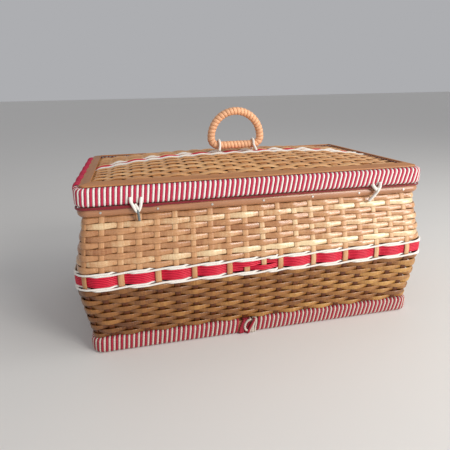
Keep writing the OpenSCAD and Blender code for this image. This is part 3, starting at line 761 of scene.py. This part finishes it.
class BASKET_OT_band(Piece, bpy.types.Operator):
    """Weaves the red band and twines the white cords along it"""

    bl_idname = "basket.band"
    bl_label = "Belly band"

    def make(self, context):
        self.red_strands()
        self.twine("twine_low", BAND[0][2] - 1.9, "band_twine_lower", 21)
        self.twine("twine_high", BAND[1][2] + 1.9, "band_twine_upper", 22)

    def red_strands(self):
        rng = np.random.default_rng(3)
        strands = Strands()
        rows, lift = 6, 1.65
        pitch = (BAND[1][2] - BAND[0][2]) / rows
        for row in range(rows):
            sides = np.ones(ALL_STAKES)
            sides[SHOWN] = -1
            if row < rows / 2:
                sides[[FRONT_SPLICE, FRONT_SPLICE + 1]] = 1, -1
            z = BAND[0][2] + (row + 0.5) * pitch
            s, depth, _ = woven_row(z, sides)
            depth = depth * (1.4 - 0.4 * depth ** 2)
            path, normals = wall_frame(z, s, depth * lift)
            strands.add(again(path), again(normals), oval(1.6, pitch * 0.98), rng.uniform(0, 1))
        strands.piece("band_reds", "band_red", "basket", "cord_red", "band_strands")

    def twine(self, name, z, node, seed):
        """Two cords that take turns to pass behind each shown stake."""
        rng = np.random.default_rng(seed)
        strands = Strands()
        places, total = stake_places(z)
        at = places[SHOWN]
        at[at < at[0] - 1e-6] += total
        at = np.append(at, at[0] + total)
        thick = size("twine_thick")
        out = STAKE_T / 2 + thick / 2 + 0.35
        t = np.arange(24) / 24
        for strand in (0, 1):
            s, depth, height = [], [], []
            droop = rng.uniform(0.8, 1.0, len(SHOWN))
            for j in range(len(SHOWN)):
                front_now = (j + strand) % 2 == 0
                s.append(at[j] + (at[j + 1] - at[j]) * t)
                if front_now:
                    depth.append(1 - 2 * eased((t - 0.62) / 0.3))
                    height.append(-droop[j] * np.interp(t, [0, 0.3, 0.85, 1], [0, 1, 1, 0]))
                else:
                    depth.append(2 * eased((t - 0.08) / 0.28) - 1)
                    height.append(droop[j] * np.interp(t, [0, 0.15, 0.7, 1], [0, 1, 1, 0]))
            s, depth, height = (np.concatenate(v) for v in (s, depth, height))
            height = (height + np.roll(height, 1) + np.roll(height, -1)) / 3
            path, normals = wall_frame(z + height, s, np.where(depth > 0, 1.05, 1) * depth * out)
            strands.add(again(path), again(normals), oval(thick, thick), 0.3 + 0.4 * strand)
        strands.piece(name, "cord_white", "basket", "cord_white", node)


def lashing(strands_of, v_out, z_low, z_high, white_at, seam=None):
    """Winds two cords, red and white, round an edge of the basket.

    A white turn crosses the middle of the front face at x = white_at. The front has no turns
    between the two x of the seam. At the lid's left end the white cord lies deep between fat
    red turns.
    """
    on_lid = z_low > RIM_LOW
    half_a, half_b = WRAP_WIDE / 2, (z_high - z_low) / 2
    core_a, core_b, core_r = half_a - 1.0, half_b - 1.0, 2.8
    middles, total = side_middles(v_out)
    turns = round(total / size("turn_pitch"))
    pitch = total / turns
    steps = 24
    around = round_rect(core_a, core_b, core_r, np.zeros(1))[2]
    faces_out = (2 * (core_a - core_r) + math.pi / 2 * core_r + core_b - core_r) / around
    shift = (middles[2] - white_at) - (faces_out + 0.5) * pitch
    t = np.arange(turns * steps) / steps
    section, facing, _ = round_rect(core_a, core_b, core_r, t * around)
    top = np.clip(section[:, 1] / half_b, 0, 1)
    inner = np.clip(-section[:, 0] / core_a, 0, 1) * on_lid
    widths = size("red_wide"), size("white_wide")
    for which, (strands, cord_wide) in enumerate(zip(strands_of, widths)):
        s = np.mod((t + which * 0.5) * pitch + shift, total)
        flat, out, _ = outline(v_out, s)
        left = eased((CORNER_Y + 3 - np.abs(s - middles[3])) / 10) * on_lid
        lumps = 3.0 + 0.8 * np.sin(flat[:, 1] * TURN / 30)
        lean = np.interp(flat[:, 0], [-150, 170], [-0.3, 2.4]) * (1 - left)
        flat, out, _ = outline(v_out, s - lean * section[:, 1] / (2 * half_b))
        inset = section[:, 0] - half_a + 0.9 * left * (section[:, 0] > 0)
        z = ((z_low + z_high) / 2 + section[:, 1] - 1.8 * top * inner
             + left * (lumps - 1.6 * which) * top * (1 - inner))
        path = np.column_stack([flat + out * inset[:, None], z])
        normals = np.column_stack([out * facing[:, :1], facing[:, 1]])
        at_corner = np.abs(out).min(axis=1) > 1e-6
        squeeze = np.where(at_corner, np.clip(1 + inset / (v_out - CORNER_X), 0.25, 1), 1)
        thick, wide = 1 - 0.3 * left * which, squeeze * (1 + left * (-0.6 if which else 0.6))
        if seam:
            centre = np.mod((np.arange(turns) + faces_out + which * 0.5) * pitch + shift, total)
            bare = (centre > middles[2] - seam[1]) & (centre < middles[2] - seam[0])
            first = (np.flatnonzero(bare)[-1] + 1) * steps
            kept = np.roll(np.repeat(~bare, steps), -first)
            path, normals, thick, wide = (np.roll(v, -first, axis=0)[kept]
                                          for v in (path, normals, thick, wide))
        strands.add(path, normals, oval(2.0, cord_wide, 8), 0.3 + 0.4 * which, not seam, thick, wide)


class BASKET_OT_lashings(Piece, bpy.types.Operator):
    """Winds red and white cord round the foot and round the lid's edge"""

    bl_idname = "basket.lashings"
    bl_label = "Edge lashings"

    def make(self, context):
        for part, edge, body, white_at, seam in (("lid", EDGE, "lid", -116.0, None),
                                                 ("foot", FOOT, "basket", 6.6, (-26.5, -6.5))):
            red, white = Strands(), Strands()
            low, finish = (edge[0][2], "_foot") if seam else (edge[0][2] - 0.4, "")
            lashing((red, white), edge[1][0] + 0.4, low, edge[1][2] + 0.4, white_at, seam)
            if seam:
                self.seam(red, white)
            for strands, hue in ((red, "red"), (white, "white")):
                strands.piece(f"{part}_turns_{hue}", f"cord_{hue}{finish}", body, "cord_" + hue,
                              f"{part}_wrap_{hue}")

    def seam(self, red, white):
        """Where the foot's cords start and end: a few turns that cross each other."""
        face = -(FOOT[1][1] - 0.6)
        top, inner = FOOT_H - 0.6, face + 3.4
        turns = [
            (red, 3.4, 0.4, [(-20.0, 15.2), (-21.6, 11.5), (-23.2, 7.0), (-24.6, 1.4)]),
            (red, 2.4, 0.0, [(-17.6, 15.2), (-19.4, 10.5), (-21.2, 5.5), (-22.0, 1.2)]),
            (red, 2.8, -0.5, [(-14.5, 15.2), (-15.6, 10.0), (-17.4, 5.0), (-19.0, 1.2)]),
            (white, 2.4, 1.3, [(-14.0, 15.6), (-16.6, 14.6), (-18.9, 11.6), (-19.9, 8.2),
                               (-19.3, 5.2), (-17.6, 3.6), (-16.0, 2.4)]),
            (red, 2.5, 1.9, [(-9.9, 15.6), (-11.2, 12.8), (-13.4, 8.6), (-15.4, 4.4), (-16.8, 1.2)]),
            (white, 2.7, 0.3, [(-10.0, 15.2), (-11.4, 10.5), (-13.0, 5.5), (-14.0, 1.0)]),
            (white, 2.7, 0.7, [(-9.4, 15.2), (-10.2, 10.5), (-11.4, 5.5), (-11.6, 0.8)]),
            (white, 2.3, 0.1, [(-7.6, 15.2), (-7.5, 10.0), (-8.3, 5.5), (-9.0, 1.2)]),
        ]
        for strands, wide, lift, route in turns:
            face_y = face - lift
            points = [(route[0][0], inner, top)] + [(x, face_y, z) for x, z in route]
            if route[-1][1] < 2:
                points.append((route[-1][0], inner, 1.1))
            path = curve_through(points, 8)
            ahead = np.gradient(path, axis=0)
            normals = np.stack([0 * path[:, 0], -np.abs(ahead[:, 2]) - 0.02, ahead[:, 1]], axis=1)
            strands.add(path, normals, oval(2.0, wide), 0.5)


LID_STEPS = 190


def lid_path(y, sides, lift):
    """Path along the lid at depth y, over and under the ribs, with normals."""
    x = np.linspace(-PANEL_X, PANEL_X, LID_STEPS)
    knots = np.concatenate([[-PANEL_X - 0.1], RIB_X, [PANEL_X + 0.1]])
    heights = np.concatenate([[0.0], sides, [0.0]])
    i = np.clip(np.searchsorted(knots, x) - 1, 0, len(knots) - 2)
    t = (x - knots[i]) / (knots[i + 1] - knots[i])
    wave = heights[i] + (heights[i + 1] - heights[i]) * (1 - np.cos(np.pi * t)) / 2
    z = np.maximum(dome(x, y) + wave * lift, RIB_Z + 0.3)
    path = np.stack([x, np.broadcast_to(y, x.shape), z], axis=1)
    lean = dome(x, y + 0.5) - dome(x, y - 0.5)
    return path, unit(np.stack([np.zeros(len(x)), -lean, np.ones(len(x))], axis=1))


class BASKET_OT_lid_weave(Piece, bpy.types.Operator):
    """Weaves the lid's domed panel and its red and white ridge band"""

    bl_idname = "basket.lid_weave"
    bl_label = "Lid weave"

    def make(self, context):
        rng = np.random.default_rng(17)
        ribs = Strands()
        y = np.linspace(-PANEL_Y, PANEL_Y, 60)
        for x in RIB_X:
            z = dome(x, y)
            path = np.stack([np.full(len(y), x), y, z], axis=1)
            normals = unit(np.stack([0 * y, -np.gradient(z, y), 1 + 0 * y], axis=1))
            ribs.add(path, normals, splint(0.9, 8.6, 0.2), rng.uniform(0.1, 0.35))
        ribs.piece("lid_stakes", "cane_lid", "lid", "cane_dark", "lid_ribs")
        weavers = Strands()
        first, pitch, rows = 14.3, 6.2, 12
        for side in (-1, 1):
            for i in range(rows):
                drift = smooth_noise(rng, LID_STEPS, 40, False) * 0.35
                path, normals = lid_path(side * (first + i * pitch) + drift,
                                         alternating(i, RIB_COUNT), 1.15)
                tone = (0.45 + 0.15 * rng.uniform(-1, 1)
                        + smooth_noise(rng, LID_STEPS, 20, False) * 0.2)
                weavers.add(path, normals, oval(1.4, 6.3, 10, 0.1), tone)
        weavers.piece("lid_splints", "cane_lid", "lid", "cane_mid", "lid_weavers")
        self.ridge(rng)

    def ridge(self, rng):
        sides = alternating(0, RIB_COUNT)
        reds = Strands()
        count, pitch, outer_y, inner_y = 6, 2.35, 9.3, 7.5
        for i in range(count):
            path, normals = lid_path((i - (count - 1) / 2) * pitch, sides, 1.2)
            reds.add(path, normals, oval(1.4, 2.3, 8), rng.uniform(0, 1))
        reds.piece("ridge_reds", "band_red", "lid", "cord_red", "lid_strands")
        red_over = sides > 0
        rise = size("twine_thick") / 2 + 0.45
        for side, node in ((-1, "lid_twine_near"), (1, "lid_twine_far")):
            twine = Strands()
            outer = np.where(red_over & (side > 0), -rise, rise)
            path, normals = lid_path(side * outer_y, outer, 1.0)
            between = (1 - np.cos((path[:, 0] - RIB_X[0]) * TURN / RIB_PITCH)) / 2
            path[:, 2] -= 0.9 * between
            twine.add(path, normals, oval(2.6, 2.6), 0.3)
            path, normals = lid_path(side * inner_y, np.where(red_over, -rise, rise - 0.1), 1.0)
            twine.add(path, normals, oval(2.1, 2.7), 0.7)
            twine.piece(node.replace("lid", "ridge"), "cord_white", "lid", "cord_white", node)


class BASKET_OT_handle(Piece, bpy.types.Operator):
    """Winds the D handle with cane"""

    bl_idname = "basket.handle"
    bl_label = "Handle"

    def make(self, context):
        grip_r, heel_r, pitch = 4.3, 8.0, 4.0
        mid_x = (GRIP[0][0] + GRIP[1][0]) / 2
        bar_z = GRIP[0][2] + grip_r
        arch_r = (GRIP[1][0] - GRIP[0][0]) / 2 - grip_r
        arch_z = GRIP[1][2] - GRIP[0][2] - 2 * grip_r - arch_r
        bar = arch_r - heel_r
        lengths = [bar, math.pi / 2 * heel_r, arch_z - heel_r, math.pi / 2 * arch_r]
        starts = np.cumsum([0.0] + lengths)
        whole = 2 * starts[-1]
        turns = round(whole / pitch)
        t = np.arange(turns * 22 + 1) / 22
        s = t * whole / turns
        half = np.minimum(s, whole - s)
        on_bar, on_heel, on_leg, on_arch = (np.clip(half - a, 0, b) for a, b in zip(starts, lengths))
        side = np.where(s > whole / 2, -1, 1)
        a = -math.pi / 2 + on_heel / heel_r + on_arch / arch_r
        arched = on_arch > 0
        x = side * np.where(arched, arch_r * np.cos(a), on_bar + heel_r * np.cos(a))
        z = np.where(arched, arch_z + arch_r * np.sin(a), heel_r + heel_r * np.sin(a) + on_leg)
        bend = np.where(arched, arch_r, np.where((on_heel > 0) & (on_leg == 0), heel_r, 1e6))
        wind_r = grip_r - 0.9
        c = np.cos(TURN * t)
        out = np.stack([side * c * np.cos(a), np.sin(TURN * t), c * np.sin(a)], axis=1)
        path = np.stack([mid_x + x, 0 * x, bar_z + z], axis=1) + out * wind_r
        spread = np.maximum(0.4, 1 + c * wind_r / bend)
        strands = Strands()
        rng = np.random.default_rng(9)
        tone = 0.5 + smooth_noise(rng, len(t), 60, False) * 0.25
        strands.add(path, out, oval(1.8, size("cane_wide")), tone, wide=spread)
        strands.piece("handle_winding", "cane_handle", "handle", "handle_cane", "handle_wrap")


class BASKET_OT_ties(Piece, bpy.types.Operator):
    """Ties the lid to the rim and the handle to the lid"""

    bl_idname = "basket.ties"
    bl_label = "Cord ties"

    def tie(self, name, routes, body, node, thick=2.9, finish="cord_white"):
        strands = Strands()
        for i, route in enumerate(routes):
            path = curve_through(route, 7)
            strands.add(path, any_normals(path), oval(thick, thick), 0.2 + 0.3 * i)
        return strands.piece(name, finish, body, "cord_white", node)

    def make(self, context):
        left = [(-122.2, -100.6, 152.0), (-122.2, -101.9, 148.6), (-121.0, -102.4, 146.0),
                (-119.4, -102.2, 142.4), (-117.6, -101.4, 139.0), (-116.2, -101.6, 139.2),
                (-114.5, -102.4, 142.4), (-113.6, -102.4, 145.6), (-113.4, -101.8, 148.4),
                (-112.6, -100.6, 151.5)]
        left_spare = [(-118.6, -100.8, 145.6), (-117.4, -102.0, 143.4), (-116.2, -102.2, 141.4),
                      (-115.6, -101.2, 140.4)]
        right = [(111.4, -101.9, 148.5), (112.0, -102.4, 146.5), (115.4, -102.4, 142.8),
                 (117.4, -102.0, 141.6), (118.9, -102.2, 143.6), (119.6, -102.3, 147.0),
                 (119.5, -101.9, 149.8)]
        self.tie("lid_tie_left", [left, left_spare], "lid", "hinge_loop_left", 2.7)
        self.tie("lid_tie_right", [right], "lid", "hinge_loop_right", 3.2)
        self.tie("rim_tie_left", [[(-117.2, -98.8, 140.2), (-116.7, -99.6, 141.6),
                                   (-116.5, -102.2, 140.2), (-116.4, -101.6, 137.2),
                                   (-116.2, -100.3, 133.6), (-116.0, -98.6, 129.8)]],
                 "basket", "hinge_link_left", 2.3, "cord_grey")
        self.tie("rim_tie_right", [[(117.4, -98.9, 141.0), (117.6, -100.2, 143.4),
                                    (117.2, -103.4, 142.4), (115.9, -102.2, 138.8),
                                    (113.4, -101.0, 134.8), (110.4, -99.2, 130.4)]],
                 "basket", "hinge_link_right", 3.0)
        for word, tie in zip(("left", "right"), TIES):
            x = (tie[0][0] + tie[1][0]) / 2
            loop_r, thick = 5.8, 2.6
            bar_z = tie[1][2] - loop_r - thick / 2
            arc = [(x, loop_r * math.cos(a), bar_z + loop_r * math.sin(a))
                   for a in np.linspace(0, math.pi, 7)]
            foot, low = tie[1][1] - thick / 2, tie[0][2] + thick / 2
            splay = 2.2 if word == "right" else -1.6
            route = [(x + splay, foot, low)] + arc + [(x + splay, -foot, low)]
            self.tie("handle_cord_" + word, [route], "lid", "handle_tie_" + word, thick)


class BASKET_OT_lining(Piece, bpy.types.Operator):
    """Lines the basket and the lid with cloth"""

    bl_idname = "basket.lining"
    bl_label = "Lining"

    def make(self, context):
        rng = np.random.default_rng(31)
        lip_v, foot_v = WALL_RIM - STAKE_T / 2 - 3.9, WALL_FOOT - 6.2
        low_z, high_z = LINING[0][2] + 0.7, RIM_TOP - 0.8
        heights = np.linspace(low_z, high_z, 30)
        _, total = side_middles(lip_v)
        turns = np.linspace(0, 1, 601)[:-1]
        folds = smooth_noise(rng, len(turns), 7)
        grid = []
        for i, z in enumerate(heights):
            room = float(np.interp(z, [low_z, FOOT_H + 6, RIM_LOW - 4, RIM_LOW + 2],
                                   [WALL_FOOT - foot_v, 5.6, 5.6, WALL_RIM - lip_v]))
            v = float(wall(z)) - room
            flat, out, _ = outline(v, turns * side_middles(v)[1])
            wave = folds * 0.5 * math.sin(math.pi * i / (len(heights) - 1))
            grid.append(np.column_stack([flat - out * (0.5 + wave)[:, None], np.full(len(out), z)]))
        walls = self.cloth("lining_walls", np.array(grid), "basket", "basket_lining", closed=True)
        hem = self.hem(lip_v - 0.3, high_z)
        x, y = np.meshgrid(np.linspace(-1, 1, 45), np.linspace(-1, 1, 27), indexing="ij")
        floor_x, floor_y = foot_v - 0.6, foot_v - HALF_DIFF - 0.6
        z = low_z + 0.2 + 0.35 * rng.uniform(0, 1, x.shape)
        bottom = np.stack([x * floor_x, y * floor_y, z], axis=2)
        base = self.cloth("lining_bottom", bottom, "basket")
        lid_x, lid_y = EDGE[1][0] - 9.8, EDGE[1][1] - 9.8
        z = box_mm("lid_lining")[1][2] - 0.1 - 0.7 * (1 - x ** 4) * (1 - y ** 4)
        cover = self.cloth("lid_cloth", np.stack([x * lid_x, y * lid_y, z], axis=2), "lid",
                           "lid_lining")
        lip = self.lip(EDGE[1][0] - 0.4, RIM_TOP - 0.9, rng)
        total * MM
        (high_z - low_z + 4) * MM
        2 * floor_x * MM
        2 * floor_y * MM
        2 * lid_x * MM
        2 * lid_y * MM

    def lip(self, v, z, rng):
        """Edge of the lid's cloth, squeezed out under the lashing. It is fullest at the left of
        the front and thins out to the right."""
        flat, normals = self.plan(v)
        full = np.interp(flat[:, 0], [-170, -150, -100, -80, 170], [0.7, 1.0, 1.0, 0.6, 0.4])
        full = full * (1 + 0.22 * smooth_noise(rng, len(flat), 4))
        path = np.column_stack([flat, z + 0.9 * (1 - full)])
        strands = Strands()
        strands.add(path, normals, oval(2.2, 3.0), 0.5, True, full, full)
        return strands.piece("lid_cloth_lip", "cloth_red", "lid", "lining_cloth")

    def hem(self, v, z):
        """Rolled hem along the upper edge of the basket's lining."""
        flat, normals = self.plan(v)
        strands = Strands()
        path = np.column_stack([flat, np.full(len(flat), z)])
        strands.add(again(path), again(normals), oval(1.6, 3.2), 0.5)
        return strands.piece("lining_hem", "cloth_red", "basket", "lining_cloth")

    def plan(self, v):
        """Places and level normals of a roll of cloth along the outline at v."""
        flat, out, _ = outline(v, np.linspace(0, side_middles(v)[1], 500)[:-1])
        return flat, np.column_stack([out, np.zeros(len(out))])

    def cloth(self, name, grid, body, *nodes, closed=False):
        """Makes a sheet from rows of points, which come round if it is closed."""
        n, m = grid.shape[:2]
        points = grid.reshape(-1, 3)
        if closed:
            run = np.broadcast_to(np.arange(m) * 1.7, (n, m)).ravel()
            marks = np.stack([run, points[:, 2], np.full(len(points), 0.5)], axis=1)
        else:
            marks = np.stack([points[:, 0], points[:, 1], np.full(len(points), 0.3)], axis=1)
        return make_piece(name, points, quads(n, m, False, closed).tolist(), marks, "cloth_red", body,
                          "lining_cloth", *nodes)


class BASKET_OT_hoops(Piece, bpy.types.Operator):
    """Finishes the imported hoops, strips, pins and panels"""

    bl_idname = "basket.hoops"
    bl_label = "Hoops and strips"

    FINISHES = {
        "cane_hoop": ["foot_hoop_outer", "foot_hoop_inner", "rim_hoop_outer", "rim_hoop_inner",
                      "handle_core"],
        "cane_strip": ["base_panel", "lid_hoop", "lid_frame", "lid_strip_front",
                       "lid_strip_back", "lid_strip_left", "lid_strip_right"],
        "pin_metal": ["rim_pins"],
    }

    def make(self, context):
        for finish, nodes in self.FINISHES.items():
            for node in nodes:
                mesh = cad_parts[node].data
                mesh.materials.clear()
                mesh.materials.append(bpy.data.materials[finish])


class BASKET_OT_stage(Piece, bpy.types.Operator):
    """Sets up the floor, the lights and the camera"""

    bl_idname = "basket.stage"
    bl_label = "Stage"

    def make(self, context):
        scene = context.scene
        mesh = bpy.data.meshes.new("floor")
        far = 30.0
        mesh.from_pydata([(-far, -far, 0), (far, -far, 0), (far, far, 0), (-far, far, 0)], [],
                         [(0, 1, 2, 3)])
        mesh.materials.append(floor_finish("floor_pale", tint("floor")))
        floor = bpy.data.objects.new("floor", mesh)
        scene.collection.objects.link(floor)
        world = bpy.data.worlds.new("studio")
        world.use_nodes = True
        sky = world.node_tree.nodes["Background"].inputs
        sky["Color"].default_value, sky["Strength"].default_value = (0.95, 0.96, 1.0, 1), 0.44
        scene.world = world
        self.light("key", (0.62, -1.05, 0.75), 0.42, 7.2)
        self.light("glint", (0.86, -0.9, 0.23), 0.4, 6.0)
        self.light("window", (1.0, -0.45, 0.9), 0.8, 5.0)
        self.light("fill", (-0.5, -1.3, 0.4), 1.0, 1.0, (0.94, 0.96, 1.0))
        scene.view_settings.view_transform = "Standard"
        self.camera(scene)

    def light(self, name, place, wide, power, rgb=(1.0, 0.98, 0.95)):
        lamp = bpy.data.lights.new(name, "AREA")
        lamp.size, lamp.energy, lamp.color = wide, power, rgb
        obj = bpy.data.objects.new(name, lamp)
        obj.location = place
        aim = Vector((0, 0, 0.09)) - Vector(place)
        obj.rotation_euler = aim.to_track_quat("-Z", "Y").to_euler()
        bpy.context.scene.collection.objects.link(obj)

    def camera(self, scene):
        """The photograph's viewing angle and framing."""
        yaw, pitch, roll = (math.radians(a) for a in (12.51, 17.79, -1.20))
        focal_px, frame_px, sensor = 410.5, 450.0, 36.0
        eye = (-0.11754, -0.45754, 0.23639)
        look = Vector((math.sin(yaw) * math.cos(pitch), math.cos(yaw) * math.cos(pitch),
                       -math.sin(pitch)))
        level = Vector((math.cos(yaw), -math.sin(yaw), 0))
        above = level.cross(look)
        right = math.cos(roll) * level + math.sin(roll) * above
        up = -math.sin(roll) * level + math.cos(roll) * above
        data = bpy.data.cameras.new("photo_view")
        data.sensor_width = sensor
        data.lens = focal_px / frame_px * sensor
        camera = bpy.data.objects.new("photo_view", data)
        turn = Matrix((right, up, -look)).transposed().to_4x4()
        camera.matrix_world = Matrix.Translation(eye) @ turn
        scene.collection.objects.link(camera)
        scene.camera = camera


OPERATORS = (BASKET_OT_finishes, BASKET_OT_stakes, BASKET_OT_upper_weave, BASKET_OT_lower_weave,
             BASKET_OT_band, BASKET_OT_lashings, BASKET_OT_lid_weave, BASKET_OT_handle,
             BASKET_OT_ties, BASKET_OT_lining, BASKET_OT_hoops, BASKET_OT_stage)


class BASKET_PT_panel(bpy.types.Panel):
    """Lists the basket's settings and pieces."""

    bl_label = "Sewing basket"
    bl_idname = "BASKET_PT_panel"
    bl_space_type = "VIEW_3D"
    bl_region_type = "UI"
    bl_category = "Basket"

    def draw(self, context):
        for group in (context.scene.basket_sizes, context.scene.basket_colors):
            for name in group.__annotations__:
                self.layout.prop(group, name)
        for operator in OPERATORS:
            self.layout.operator(operator.bl_idname)


CLASSES = (BasketSizes, BasketColors, *OPERATORS, BASKET_PT_panel)


def register():
    for item in CLASSES:
        bpy.utils.register_class(item)
    bpy.types.Scene.basket_sizes = bpy.props.PointerProperty(type=BasketSizes)
    bpy.types.Scene.basket_colors = bpy.props.PointerProperty(type=BasketColors)


def unregister():
    del bpy.types.Scene.basket_sizes
    del bpy.types.Scene.basket_colors
    for item in reversed(CLASSES):
        bpy.utils.unregister_class(item)


def main():
    register()
    for operator in OPERATORS:
        group, name = operator.bl_idname.split(".")
        getattr(getattr(bpy.ops, group), name)()


if __name__ == "__main__":
    main()
